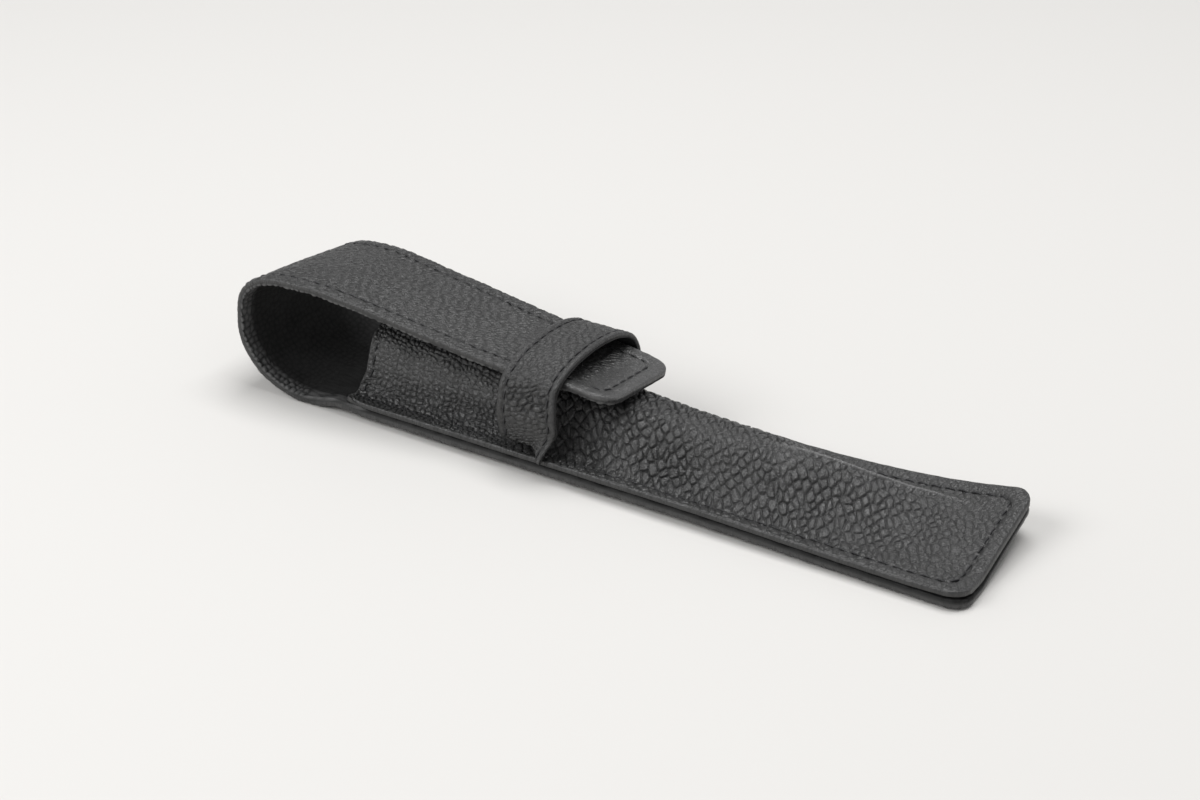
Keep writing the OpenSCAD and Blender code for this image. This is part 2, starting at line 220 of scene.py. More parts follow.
# -------------------------------------------- noise on a skin's own coordinates
def hashed(ix, iy, seed):
    """A number from 0 to 1 that each whole-numbered cell has for its own."""
    n = (ix.astype(np.int64) * 374761393 + iy.astype(np.int64) * 668265263
         + seed * 974711 + 1013904223) & 0xFFFFFFFF
    n = ((n ^ (n >> 13)) * 1274126177) & 0xFFFFFFFF
    n = ((n ^ (n >> 16)) * 2246822519) & 0xFFFFFFFF
    return ((n ^ (n >> 15)) & 0xFFFFFF) / float(0x1000000)


def noise(u, v, size, seed):
    """Smooth noise from -1 to 1, with bumps about as wide as size."""
    x, y = u / size, v / size
    ix, iy = np.floor(x), np.floor(y)
    fx, fy = ease(x - ix), ease(y - iy)
    a, b = hashed(ix, iy, seed), hashed(ix + 1, iy, seed)
    c, d = hashed(ix, iy + 1, seed), hashed(ix + 1, iy + 1, seed)
    return mix(mix(a, b, fx), mix(c, d, fx), fy) * 2 - 1

def cells(u, v, size, seed, jitter=0.64):
    """Distance from the border between jittered cells and from the cell's middle, in cells,
    and a slope that is each cell's own."""
    x, y = u / size, v / size
    ix, iy = np.floor(x), np.floor(y)
    nearest = np.full(x.shape, 9.0)
    second = np.full(x.shape, 9.0)
    slope = np.zeros(x.shape)
    for dx in (-1, 0, 1):
        for dy in (-1, 0, 1):
            cx, cy = ix + dx, iy + dy
            px = cx + 0.5 + jitter * (hashed(cx, cy, seed) - 0.5)
            py = cy + 0.5 + jitter * (hashed(cx, cy, seed + 7) - 0.5)
            d = np.hypot(px - x, py - y)
            own = ((hashed(cx, cy, seed + 11) - 0.5) * (x - px)
                   + (hashed(cx, cy, seed + 13) - 0.5) * (y - py))
            second = np.where(d < nearest, nearest, np.minimum(second, d))
            slope = np.where(d < nearest, own, slope)
            nearest = np.minimum(nearest, d)
    return second - nearest, nearest, slope


def pebbles(u, v, size, seed, crack=0.3):
    """Leather grain: domed pebbles between creases, 0 in a crease and 1 on a top.
    crack is how much of a cell a crease takes, and some creases are shallower than others."""
    warped_u = u + 0.3 * size * noise(u, v, 1.7 * size, seed + 1)
    warped_v = v + 0.3 * size * noise(u, v, 1.7 * size, seed + 2)
    border, middle, slope = cells(warped_u, warped_v, size, seed)
    deep = np.clip(0.92 + 0.3 * noise(u, v, 2.2 * size, seed + 3), 0.5, 1)
    domed = ease(border / crack) * (1 - 0.95 * np.minimum(1, middle) ** 2 + 0.6 * slope)
    return 1 - deep * (1 - domed)


def turned(u, v, c=0.85, s=0.53):
    """Coordinates turned against a skin's own, for grain that runs aslant."""
    return c * u + s * v, c * v - s * u


# -------------------------------------------- sheets of leather
def fine_steps(step=SKIN_STEP, reach=5.0):
    """Distances from an edge: close together on its rounding, then even."""
    start = [0, 0.03, 0.09, 0.18, 0.32]
    return np.array(start + list(np.arange(0.5, reach + 1e-6, step)))


def span(a, b, step, fine_a=True, fine_b=True, edge_step=SKIN_STEP):
    """Stations from a to b, with fine ones at the ends that are edges."""
    left = a + fine_steps(edge_step) if fine_a else np.array([a])
    right = (b - fine_steps(edge_step))[::-1] if fine_b else np.array([b])
    n = max(2, int(round((right[0] - left[-1]) / step)))
    return np.concatenate([left, np.linspace(left[-1], right[0], n + 1)[1:-1], right])


def grid_normals(p):
    du = np.gradient(p, axis=0)
    dv = np.gradient(p, axis=1)
    return unit(np.cross(du, dv))


def loop_of(n, m):
    """Boundary of an n by m grid as four sides of (i, j)."""
    return [[(0, j) for j in range(m - 1)], [(i, m - 1) for i in range(n - 1)],
            [(n - 1, j) for j in range(m - 1, 0, -1)], [(i, 0) for i in range(n - 1, 0, -1)]]


def loop_params(points, sides):
    """Running share of each side, so that two loops can be zipped together."""
    flat = [ij for side in sides for ij in side]
    out = []
    for k, side in enumerate(sides):
        run = run_along(np.array([points[i, j] for i, j in side] + [points[sides[(k + 1) % 4][0]]]))
        out += list(k + run[:-1] / max(run[-1], 1e-9))
    return flat, np.array(out)


def quads(n, m, base, flip=False):
    i, j = np.meshgrid(np.arange(n - 1), np.arange(m - 1), indexing="ij")
    a = base + i * m + j
    f = np.stack([a, a + m, a + m + 1, a + 1], -1).reshape(-1, 4)
    return f[:, ::-1] if flip else f


def zipper(a, ta, b, tb):
    """Triangles between two closed loops that run the same way."""
    faces = []
    i = j = 0
    na, nb = len(a), len(b)
    while i < na or j < nb:
        next_a = ta[i + 1] if i + 1 < na else 4.0
        next_b = tb[j + 1] if j + 1 < nb else 4.0
        if j >= nb or (i < na and next_a <= next_b):
            faces.append((a[i], a[(i + 1) % na], b[j % nb]))
            i += 1
        else:
            faces.append((a[i % na], b[(j + 1) % nb], b[j]))
            j += 1
    return faces


def mesh_object(name, verts, faces, material, attributes, flat_from=None):
    """A mesh object from points in mm; its faces from flat_from on are shaded flat."""
    mesh = bpy.data.meshes.new(name)
    mesh.from_pydata((np.asarray(verts) / 1000).tolist(), [], faces)
    for key, values in attributes.items():
        values = np.asarray(values, np.float32)
        kind = "FLOAT_VECTOR" if values.ndim == 2 else "FLOAT"
        layer = mesh.attributes.new(key, kind, "POINT")
        layer.data.foreach_set("vector" if values.ndim == 2 else "value", values.ravel())
    bm = bmesh.new()
    bm.from_mesh(mesh)
    bmesh.ops.recalc_face_normals(bm, faces=bm.faces)
    for i, f in enumerate(bm.faces):
        f.smooth = flat_from is None or i < flat_from
    bm.to_mesh(mesh)
    bm.free()
    mesh.materials.append(material)
    obj = bpy.data.objects.new(name, mesh)
    bpy.context.scene.collection.objects.link(obj)
    return obj


def edge_round(d, r):
    """Height of a quarter round of radius r, at the distance d from the edge, in shares of r."""
    return np.where(d >= r, 1.0, np.sqrt(np.clip(1 - (1 - np.clip(d, 0, r) / r) ** 2, 0, 1)))


def strided(count, stride):
    return sorted({*range(0, count, stride), count - 1})


def leather_layer(name, top, normal, thick, d, uv, relief, tone, stride, material,
                  inset=0.07, roll=0.6):
    """A closed sheet: a fine visible skin with rounded edges and relief, and a plain back.

    d is the distance from the sheet's edge, and thick may vary over the grid. The back takes
    every stride-th point and stands in by the inset. The edge is rounded over the share roll
    of the thickness."""
    rise = edge_round(d, roll * thick)
    skin = (top - normal * (roll * thick * (1 - rise))[..., None]
            + normal * (relief * rise)[..., None])
    n, m = d.shape
    rows, cols = strided(n, stride), strided(m, stride)
    nb, mb = len(rows), len(cols)
    back = (top - normal * thick[..., None])[np.ix_(rows, cols)]
    rim = np.ones((nb, mb, 1))
    rim[1:-1, 1:-1] = 0
    one_in = np.ix_(np.clip(np.arange(nb), 1, nb - 2), np.clip(np.arange(mb), 1, mb - 2))
    back = back + rim * unit(back[one_in] - back) * inset
    skin_loop, skin_run = loop_params(skin, loop_of(n, m))
    back_loop, back_run = loop_params(back, loop_of(nb, mb))
    edge = zipper([i * m + j for i, j in skin_loop], skin_run,
                  [n * m + i * mb + j for i, j in back_loop], back_run)
    sheets = quads(n, m, 0).tolist() + quads(nb, mb, n * m, True).tolist()
    verts = np.concatenate([skin.reshape(-1, 3), back.reshape(-1, 3)])
    places = np.concatenate([uv.reshape(-1, 2), uv[np.ix_(rows, cols)].reshape(-1, 2)])
    places = np.concatenate([places, np.zeros((len(places), 1))], 1)
    tones = np.concatenate([tone.ravel(), np.full(nb * mb, 0.6)])
    return mesh_object(name, verts, sheets + [list(f) for f in edge], material,
                       {"skin": places, "tone": tones}, flat_from=len(sheets))


def swelling(d, width):
    """A round swelling from an edge to a line of stitches that is width away."""
    return np.sin(math.pi * np.clip(d / width, 0, 1))


def darkened(tone, groove, pits, by=0.2):
    """Tone of a skin with painted shade, darker in its grooves and in its stitch holes."""
    return np.clip(tone - by * groove - 0.3 * pits, 0, 1)


# -------------------------------------------- stitches
STITCH_SIDES, STITCH_RINGS = 8, 11
STITCH_RISE, STITCH_DIVE, STITCH_SLANT = 0.02, 0.42, 0.12


def sample(at, run, values):
    """Rows of values at the lengths at, between those at the lengths run."""
    return np.stack([np.interp(at, run, values[:, k]) for k in range(3)], 1)


def stitch_row(points, normals, radius=THREAD_R):
    """Vertices, faces and hole points of a row of stitches that dive into the leather."""
    run = run_along(points)
    s = np.arange(0, run[-1], 0.05)
    p, n = sample(s, run, points), unit(sample(s, run, normals))
    count = int((run[-1] - STITCH_L) // STITCH_PITCH) + 1
    first = (run[-1] - (count - 1) * STITCH_PITCH - STITCH_L) / 2
    t = np.linspace(0, 1, STITCH_RINGS)
    height = np.sin(math.pi * t) ** 0.45
    ring_r = radius * (0.62 + 0.38 * height)
    angle = (np.arange(STITCH_SIDES) * 2 * math.pi / STITCH_SIDES)[:, None]
    verts, faces, holes = [], [], []
    for i in range(count):
        at = first + i * STITCH_PITCH + t * STITCH_L
        c, up = sample(at, s, p), unit(sample(at, s, n))
        side = unit(np.cross(unit(np.gradient(c, axis=0)), up))
        c = (c + up * mix(-STITCH_DIVE, STITCH_RISE, height)[:, None]
             + side * (STITCH_SLANT * (2 * t - 1))[:, None])
        out = unit(np.cross(side, unit(np.gradient(c, axis=0))))
        base = len(verts) * STITCH_SIDES
        for q in range(STITCH_RINGS):
            around = np.cos(angle) * side[q] + 0.85 * np.sin(angle) * out[q]
            verts.append(c[q] + ring_r[q] * around)
        for q in range(STITCH_RINGS - 1):
            for w in range(STITCH_SIDES):
                a = base + q * STITCH_SIDES + w
                b = base + q * STITCH_SIDES + (w + 1) % STITCH_SIDES
                faces.append([a, b, b + STITCH_SIDES, a + STITCH_SIDES])
        last = base + (STITCH_RINGS - 1) * STITCH_SIDES
        faces.append([base + w for w in range(STITCH_SIDES)][::-1])
        faces.append([last + w for w in range(STITCH_SIDES)])
        holes += [c[0], c[-1]]
    return np.concatenate(verts), faces, np.array(holes)


def stitches(name, rows, radius=THREAD_R):
    """One object with the stitches of all the rows."""
    verts, faces, count = [], [], 0
    for points, normals in rows:
        v, f, _ = stitch_row(points, normals, radius)
        verts.append(v)
        faces += [[i + count for i in face] for face in f]
        count += len(v)
    verts = np.concatenate(verts)
    return mesh_object(name, verts, faces, THREAD,
                       {"skin": verts, "tone": np.full(len(verts), 0.5)})


def dimples(points, rows, radius=PIT_R):
    """1 at the ends of the rows' stitches, 0 away from them."""
    flat = points.reshape(-1, 3)
    result = np.zeros(len(flat))
    for h in np.concatenate([stitch_row(p, n)[2] for p, n in rows]):
        near = np.abs(flat[:, 0] - h[0]) < 3 * radius
        q = flat[near] - h
        result[near] = np.maximum(result[near], np.exp(-(q * q).sum(1) / (radius * radius)))
    return result.reshape(points.shape[:-1])


# -------------------------------------------- materials
def feed(tree, node, inputs):
    """Sets a node's inputs, each to a value or from the socket that feeds it."""
    for key, value in inputs.items():
        if isinstance(value, bpy.types.NodeSocket):
            tree.links.new(value, node.inputs[key])
        else:
            node.inputs[key].default_value = value
    return node


def add_node(tree, kind, inputs, **settings):
    node = tree.nodes.new("ShaderNode" + kind)
    for key, value in settings.items():
        setattr(node, key, value)
    return feed(tree, node, inputs)


def new_material(name):
    material = bpy.data.materials.new(name)
    material.use_nodes = True
    return material, material.node_tree, material.node_tree.nodes["Principled BSDF"]


def leather(name, dark, light, rough, grain, bump, seed, specular=0.5):
    """Leather whose colour and gloss follow the skin's tone, with fine grain and pores. The tone
    carries painted shade and painted highlights, so the dark colour is partly painted shade and the
    colour runs past the light one on painted highlights.
    """
    material, tree, bsdf = new_material(name)
    skin = add_node(tree, "Attribute", {}, attribute_name="skin").outputs["Vector"]
    tone = add_node(tree, "Attribute", {}, attribute_name="tone").outputs["Fac"]

    def placed(scale=(1, 1, 1)):
        return add_node(tree, "Mapping", {
            "Vector": skin, "Location": (seed, seed * 0.37, 0), "Scale": scale}).outputs[0]

    creases = add_node(tree, "TexVoronoi", {"Vector": placed(), "Scale": grain},
                       feature="DISTANCE_TO_EDGE").outputs["Distance"]
    plateaus = add_node(tree, "MapRange",
                        {"Value": creases, "From Max": 0.28}).outputs["Result"]
    pores = add_node(tree, "TexNoise", {
        "Vector": placed((1, 1.4, 1)), "Scale": grain * 2.6, "Detail": 5,
        "Roughness": 0.65}).outputs["Fac"]
    height = add_node(tree, "Math", {0: pores, 1: 0.8, 2: plateaus},
                      operation="MULTIPLY_ADD").outputs[0]
    normal = add_node(tree, "Bump", {
        "Height": height, "Strength": bump, "Distance": 0.00012}).outputs["Normal"]

    blotches = add_node(tree, "TexNoise", {
        "Vector": placed(), "Scale": 0.09, "Detail": 4}).outputs["Fac"]
    shifted = add_node(tree, "Math", {0: tone, 1: 0.9, 2: -0.12},
                       operation="MULTIPLY_ADD").outputs[0]
    # random blotches of tone, plus the skin's tone with its painted shade and painted highlights
    blotches_and_painted_light = add_node(tree, "Math", {0: blotches, 1: 0.35, 2: shifted},
                    operation="MULTIPLY_ADD").outputs[0]
    colour = add_node(tree, "Mix", {"Factor": blotches_and_painted_light, "A": (*dark, 1), "B": (*light, 1)},
                      data_type="RGBA", clamp_factor=False).outputs["Result"]
    gloss = add_node(tree, "MapRange", {
        "Value": blotches_and_painted_light, "To Min": rough + 0.14, "To Max": rough - 0.06}).outputs["Result"]
    feed(tree, bsdf, {"Base Color": colour, "Roughness": gloss, "Normal": normal,
                      "Specular IOR Level": specular})
    return material


def waxed_thread(name, dark, light):
    """Thread whose plies run aslant round it."""
    material, tree, bsdf = new_material(name)
    skin = add_node(tree, "Attribute", {}, attribute_name="skin").outputs["Vector"]
    plies = add_node(tree, "TexWave", {"Vector": skin, "Scale": 1.6, "Distortion": 0.6},
                     bands_direction="DIAGONAL").outputs["Fac"]
    colour = add_node(tree, "Mix", {"Factor": plies, "A": (*dark, 1), "B": (*light, 1)},
                      data_type="RGBA").outputs["Result"]
    normal = add_node(tree, "Bump", {
        "Height": plies, "Strength": 0.6, "Distance": 0.00008}).outputs["Normal"]
    feed(tree, bsdf, {"Base Color": colour, "Normal": normal, "Roughness": 0.5})
    return material


PEBBLED = leather("pebbled_leather", dark=(0.004, 0.004, 0.004), light=(0.036, 0.036, 0.036),
                  rough=0.37, grain=1.5, bump=0.55, seed=3.0)
SMOOTH = leather("strap_leather", dark=(0.005, 0.005, 0.005), light=(0.036, 0.036, 0.036),
                 rough=0.4, grain=1.9, bump=0.5, seed=11.0)
LINING = leather("lining_leather", dark=(0.003, 0.003, 0.003), light=(0.06, 0.06, 0.06),
                 rough=0.7, grain=2.4, bump=0.4, seed=23.0, specular=0.25)
THREAD = waxed_thread("waxed_thread", dark=(0.006, 0.006, 0.007), light=(0.02, 0.02, 0.022))


# -------------------------------------------- the long strip: back, fold and flap
def strip_columns(lo, hi, step, m_mid):
    """Places across each row from lo to hi, with fixed distances near both edges."""
    from_edge = fine_steps(step)
    frac = np.linspace(0, 1, m_mid + 1)[1:-1]
    a = lo[:, None] + from_edge[-1]
    b = hi[:, None] - from_edge[-1]
    return np.concatenate([lo[:, None] + from_edge, a + (b - a) * frac,
                           hi[:, None] - from_edge[::-1]], 1)


def fold_stations(step):
    """Angles of the fold that lie about a step apart on its middle line."""
    a = np.linspace(-math.pi / 2, math.pi / 2, 4001)
    x, z = fold_xz(a, np.zeros_like(a))
    run = running(np.hypot(np.diff(x), np.diff(z)))
    n = int(round(run[-1] / step))
    return np.interp(np.linspace(0, run[-1], n + 1), run, a)


def slanted(p):
    """Points with the closed end cut a little askew."""
    p = p.copy()
    by_end = ease((p[..., 0] - X_END + END_SLANT_L) / END_SLANT_L)
    p[..., 0] -= np.where(p[..., 2] < MID_H, END_SLANT * p[..., 1] / HALF_W * by_end, 0)
    return p


def height_normals(fn, x, y, up, h=0.02):
    """Unit normals of the height field fn, from its own slope."""
    zx = (fn(x + h, y) - fn(x - h, y)) / (2 * h)
    zy = (fn(x, y + h) - fn(x, y - h)) / (2 * h)
    return unit(np.stack([-zx, -zy, np.ones_like(zx)], -1)) * up


def fold_normals(a, y, h=1e-3):
    xa, za = fold_xz(a - h, y)
    xb, zb = fold_xz(a + h, y)
    xc, zc = fold_xz(a, y - h)
    xd, zd = fold_xz(a, y + h)
    along = np.stack([xb - xa, np.zeros_like(xa), zb - za], -1)
    across = np.stack([xd - xc, np.full_like(xc, 2 * h), zd - zc], -1)
    return unit(np.cross(along, across))


def corner_distance(x, y, half, end, r):
    """Distance inside an outline that ends at end with rounded corners."""
    cx, cy = x - (end - r), np.abs(y) - (half - r)
    return np.where((cx > 0) & (cy > 0), r - np.hypot(cx, cy),
                    np.minimum(half - np.abs(y), end - x))


def ragged(u, seed):
    """How far a cut edge wanders, at most EDGE_SLACK."""
    return 0.07 * noise(u, u * 0, 5.0, seed) + 0.05 * noise(u, u * 0, 1.6, seed + 1)


EDGE_SLACK = 0.15


def strip_grid(back_step, step, edge_step, m_mid):
    """Outer face of the strip from the closed end, round the fold, to the tongue's tip: points,
    normals, distances from the edge, places on the skin, the share of the way from back to
    flap, and how many rows belong to the back and to the fold."""
    xb = span(X_CREST, X_END, back_step, fine_a=False, edge_step=edge_step)[::-1]
    af = fold_stations(step)[1:-1]
    xf = span(X_CREST, X_TIP, step, fine_a=False, edge_step=edge_step)
    nb, nf = len(xb), len(af)
    share = (af + math.pi / 2) / math.pi
    half = np.concatenate([rounded_half(xb, HALF_W, X_END, CORNER_R),
                           mix(SLEEVE_W, FLAP_W, share) / 2,
                           rounded_half(xf, flap_side(xf), X_TIP, TONGUE_R)])
    u = run_along(np.concatenate([np.stack([xb, back_z(xb, xb * 0)], -1),
                                  np.stack(fold_xz(af, af * 0), -1),
                                  np.stack([xf, flap_z(xf, xf * 0)], -1)]))
    lo, hi = -half - ragged(u, 301), half + ragged(u, 305)
    y = strip_columns(lo, hi, edge_step, m_mid)
    y_back, y_fold, y_flap = y[:nb], y[nb:nb + nf], y[nb + nf:]
    x_back = np.broadcast_to(xb[:, None], y_back.shape)
    x_flap = np.broadcast_to(xf[:, None], y_flap.shape)
    a_fold = np.broadcast_to(af[:, None], y_fold.shape)
    x_fold, z_fold = fold_xz(a_fold, y_fold)
    p = np.concatenate([np.stack([x_back, y_back, back_z(x_back, y_back)], -1),
                        np.stack([x_fold, y_fold, z_fold], -1),
                        np.stack([x_flap, y_flap, flap_z(x_flap, y_flap)], -1)])
    n = np.concatenate([height_normals(back_z, x_back, y_back, -1),
                        fold_normals(a_fold, y_fold),
                        height_normals(flap_z, x_flap, y_flap, 1)])
    d = np.minimum(y - lo[:, None], hi[:, None] - y)
    d[:nb] = np.minimum(d[:nb], corner_distance(
        x_back, y_back, HALF_W + EDGE_SLACK, X_END, CORNER_R))
    d[nb + nf:] = np.minimum(d[nb + nf:], corner_distance(
        x_flap, y_flap, flap_side(x_flap) + EDGE_SLACK, X_TIP, TONGUE_R))
    uv = np.stack([np.broadcast_to(u[:, None], y.shape), y], -1)
    share_all = np.concatenate([np.zeros(nb), share, np.ones(len(xf))])
    return slanted(p), n, np.maximum(d, 0), uv, share_all, nb, nf


strip, strip_n, strip_d, strip_uv, strip_share, n_back, n_fold = strip_grid(
    back_step=0.34, step=0.2, edge_step=SKIN_STEP, m_mid=140)
outer_t = mix(BACK_T, FLAP_T, strip_share)[:, None] * np.ones(strip_d.shape)

# columns and rows at the seam's distance from the edges
margin_col = int(np.argmin(np.abs(fine_steps() - SEAM_MARGIN)))
mirror_col = strip.shape[1] - 1 - margin_col
end_row, tip_row = margin_col, strip.shape[0] - 1 - margin_col


def margin_path(first, last, col):
    rows = np.arange(first, last)
    return strip[rows, col], strip_n[rows, col]


def cross_path(row):
    cols = np.arange(margin_col, mirror_col + 1)
    return strip[row, cols], strip_n[row, cols]


def backwards(path):
    return path[0][::-1], path[1][::-1]


def joined(*parts, turn=SEAM_TURN_R - SEAM_MARGIN):
    """One path from several, each corner between them rounded."""
    points, normals = parts[0]
    for p, n in parts[1:]:
        corner, up = points[-1], normals[-1]
        keep_a = np.linalg.norm(points - corner, axis=1) > turn
        keep_b = np.linalg.norm(p - corner, axis=1) > turn
        a, b = points[keep_a], p[keep_b]
        t = np.linspace(0, 1, 12)[1:-1, None]
        bend = (1 - t) ** 2 * a[-1] + 2 * t * (1 - t) * corner + t * t * b[0]
        points = np.concatenate([a, bend, b])
        normals = np.concatenate([normals[keep_a], np.repeat(up[None], len(bend), 0), n[keep_b]])
    return points, normals


# one row of stitches from the fold's belly round the tongue, one on the underside of the seam
flap_first = n_back + int(0.2 * n_fold)
near = margin_path(flap_first, tip_row + 1, margin_col)
far = margin_path(flap_first, tip_row + 1, mirror_col)
flap_path = joined(near, cross_path(tip_row), backwards(far))
back_last = n_back - 60
back_path = joined(backwards(margin_path(end_row, back_last, margin_col)), cross_path(end_row),
                   margin_path(end_row, back_last, mirror_col))

strip_u, strip_v = strip_uv[..., 0], strip_uv[..., 1]
turned_u, turned_v = turned(strip_u, strip_v)
on_flap = ease((strip_u - strip_u[n_back]) / 14)
on_tongue = on_flap * ease((strip[..., 0] - X_STRAP_END + 1) / 3) * (strip[..., 2] > MID_H)
flap_grain = pebbles(turned_u / 2.2, turned_v, size=1.0, seed=41, crack=0.42)
back_grain = pebbles(strip_u, strip_v, size=1.9, seed=45, crack=0.22)
strip_grain = mix(back_grain, flap_grain, on_flap)
strip_depth = (mix(0.24, 0.18, on_flap) * mix(0.8, 1.0, ease((strip_d - 2.4) / 2.0))
               * (1 - 0.75 * on_tongue))
strip_creases = (mix(0.05 * noise(strip_u / 4, strip_v, 0.7, 47),
                     0.035 * noise(turned_u / 3, turned_v, 0.8, 53), on_flap)
                 * (1 - 0.7 * on_tongue) + 0.03 * noise(strip_u, strip_v, 0.5, 49)
                 + 0.08 * noise(strip_u, strip_v, 1.4, 51) * (1 - ease((strip_d - 2) / 2.5)))
strip_groove = bell(strip_d - SEAM_MARGIN, GROOVE_W)
strip_pits = dimples(strip, [flap_path, back_path])
strip_relief = (strip_depth * (strip_grain - 0.75) - 0.1 * strip_groove
                + 0.14 * swelling(strip_d, SEAM_MARGIN) - PIT_DEPTH * strip_pits + strip_creases)
# painted shade in the grain's creases, the seam groove and the stitch holes; the tongue is painted
# lighter against the shade of the strap above it, and the tone is lighter within a mm of the edge
strip_tone = (darkened(0.25 + 0.75 * mix(strip_grain, 0.7, 0.6 * on_tongue),
                       strip_groove, strip_pits)
              + 0.9 * on_tongue + 0.3 * (1 - ease(strip_d / 0.9)))
strip_outer = leather_layer("strip_outer", strip, strip_n, outer_t, strip_d, strip_uv,
                            strip_relief, strip_tone, 4, PEBBLED, inset=0.0)

# the lining: smooth inside the fold, and pebbled along its near edge, where light falls in and its
# tone is painted lighter as painted light
lin, lin_n, lin_d, lin_uv, lin_share, _, _ = strip_grid(
    back_step=1.2, step=0.35, edge_step=0.3, m_mid=70)
lin_top = lin - lin_n * (mix(BACK_STACK, FLAP_STACK, lin_share)[:, None]
                         * np.ones(lin_d.shape))[..., None]
lin_t = (mix(BACK_LINING_T, FLAP_LINING_T, lin_share)[:, None] + BOND) * np.ones(lin_d.shape)
lin_grain = pebbles(lin_uv[..., 0], lin_uv[..., 1], size=1.5, seed=61, crack=0.4)
by_fold = 1 - ease((lin[..., 0] - X_MOUTH - 3) / 5) * (lin[..., 2] < MID_H)
lin_margin = (1 - ease((lin_d - 1.8) / 2.6)) * (1 - ease((lin[..., 1] + 4) / 6)) * by_fold
lin_relief = (mix(0.07, 0.42, lin_margin) * (lin_grain - 0.6)
              + 0.05 * noise(lin_uv[..., 0], lin_uv[..., 1], 1.1, 63))
# painted light: the near margin's tone is raised where light falls in, and the grain's creases get
# painted shade
lin_tone = 0.2 * lin_grain + lin_margin * (0.35 + 1.1 * lin_grain)
strip_lining = leather_layer("strip_lining", lin_top, -lin_n, lin_t, lin_d, lin_uv,
                             lin_relief, lin_tone, 3, LINING, inset=0.0, roll=0.35)

# the stitches show on the flap's inside too
inside_rows = [(p - n * (FLAP_STACK + 0.02), -n) for p, n in (near, far)]
flap_stitches = stitches("flap_stitches", [flap_path] + inside_rows)


# -------------------------------------------- the moulded front panel
def rolled(z, r, dense, sign):
    """Sections swollen (sign 1) or shrunk (sign -1) by a ball of radius r."""
    k = int(r / dense)
    pad = np.pad(z, ((0, 0), (k, k)), mode="edge")
    best = np.full(z.shape, -1e9 * sign)
    for q in range(-k, k + 1):
        rise = math.sqrt(max(0.0, r * r - (q * dense) ** 2))
        moved = pad[:, k + q:k + q + z.shape[1]] + sign * rise
        best = np.maximum(best, moved) if sign > 0 else np.minimum(best, moved)
    return best


def front_profiles(xs, t, dense=0.05, smooth=5):
    """For each x the section of the panel's face a distance t out from the pocket, as y and z."""
    y = np.arange(-HALF_W, HALF_W + 1e-6, dense)
    z = pocket_z(xs[:, None], y[None, :])
    if t > 0:
        z = rolled(rolled(z, t + FOOT_R, dense, 1), FOOT_R, dense, -1)
    w = np.exp(-np.linspace(-2, 2, 2 * smooth + 1) ** 2)
    w /= w.sum()
    pad = np.pad(z, ((0, 0), (smooth, smooth)), mode="reflect", reflect_type="odd")
    z = sum(w[q] * pad[:, q:q + z.shape[1]] for q in range(2 * smooth + 1))
    return y, z


MOUTH_CORNER_R, PARTING = 2.5, 0.3


def front_grid(t, step, m_mid, edge_step=SKIN_STEP, short=0.25):
    """The panel's face, a little shorter than the strip that it is sewn to: points, normals,
    distances from the edge and places on the skin."""
    x_end, half_w = X_END - short, HALF_W - short
    xs = span(X_MOUTH, x_end, step, edge_step=edge_step)
    y, z = front_profiles(xs, t)
    zx = np.gradient(z, xs, axis=0)
    zy = np.gradient(z, y, axis=1)
    half = rounded_half(xs, half_w, x_end, CORNER_R)
    lows, highs = -half - ragged(xs, 311), half + ragged(xs, 315)
    from_edge = fine_steps(edge_step)
    frac = np.linspace(0, 1, m_mid + 1)[1:-1]
    rows, arcs, normals = [], [], []
    for i, (x, lo, hi) in enumerate(zip(xs, lows, highs)):
        yy = np.concatenate([[lo], y[(y > lo) & (y < hi)], [hi]])
        zz = np.interp(yy, y, z[i])
        run = running(np.hypot(np.diff(yy), np.diff(zz)))
        inner = from_edge[-1] + (run[-1] - 2 * from_edge[-1]) * frac
        at = np.concatenate([from_edge, inner, (run[-1] - from_edge)[::-1]])
        ys = np.interp(at, run, yy)
        rows.append(np.stack([np.full(len(ys), x), ys, np.interp(ys, yy, zz)], -1))
        normals.append(np.stack([-np.interp(ys, y, zx[i]), -np.interp(ys, y, zy[i]),
                                 np.ones(len(ys))], -1))
        arcs.append(at - np.interp(0.0, yy, run))
    p, v, n = np.array(rows), np.array(arcs), unit(np.array(normals))
    x = p[..., 0].copy()
    side = np.minimum(v - v[:, :1], v[:, -1:] - v)
    start = x - X_MOUTH
    # the mouth's corners are rounded on the margin, and its edge draws back up the near wall
    r = MOUTH_CORNER_R
    round_off = np.where(side < r, r - np.sqrt(np.maximum(0, r * r - (r - side) ** 2)), 0)
    draw_back = ease((p[..., 2] - 5.0) / 4.0) * (1 - 0.9 * ease((p[..., 1] + 7) / 5))
    p[..., 0] += (round_off + draw_back) * (1 - ease(start / 14.0))
    corner = np.where((side < r) & (start < r), r - np.hypot(r - side, r - start), 99.0)
    d = np.minimum(np.minimum(side, start), np.minimum(x_end - x, corner))
    d = np.where((side < r) & (start < 0.4), np.minimum(side, start), d)
    d = np.minimum(d, corner_distance(x, p[..., 1], half_w + EDGE_SLACK, x_end, CORNER_R))
    # the layers part a little at the closed end's near corner
    p[..., 2] += PARTING * np.exp(-((x - X_END + 2) ** 2 + (p[..., 1] + HALF_W - 2) ** 2) / 30.0)
    return slanted(p), n, np.maximum(d, 0), np.stack([x, v], -1)


def turned_distance(side, end, r=SEAM_TURN_R):
    """Distance from two edges that meet in a corner of radius r."""
    return np.where((side < r) & (end < r), r - np.hypot(r - side, r - end),
                    np.minimum(side, end))


front, front_n, front_d, front_uv = front_grid(FRONT_STACK, step=0.17, m_mid=240)
fx, fv = front_uv[..., 0], front_uv[..., 1]
from_edges = turned_distance(np.minimum(fv - fv[:, :1], fv[:, -1:] - fv), X_END - fx)
from_ridge = front[..., 1] - swing_of(fx)

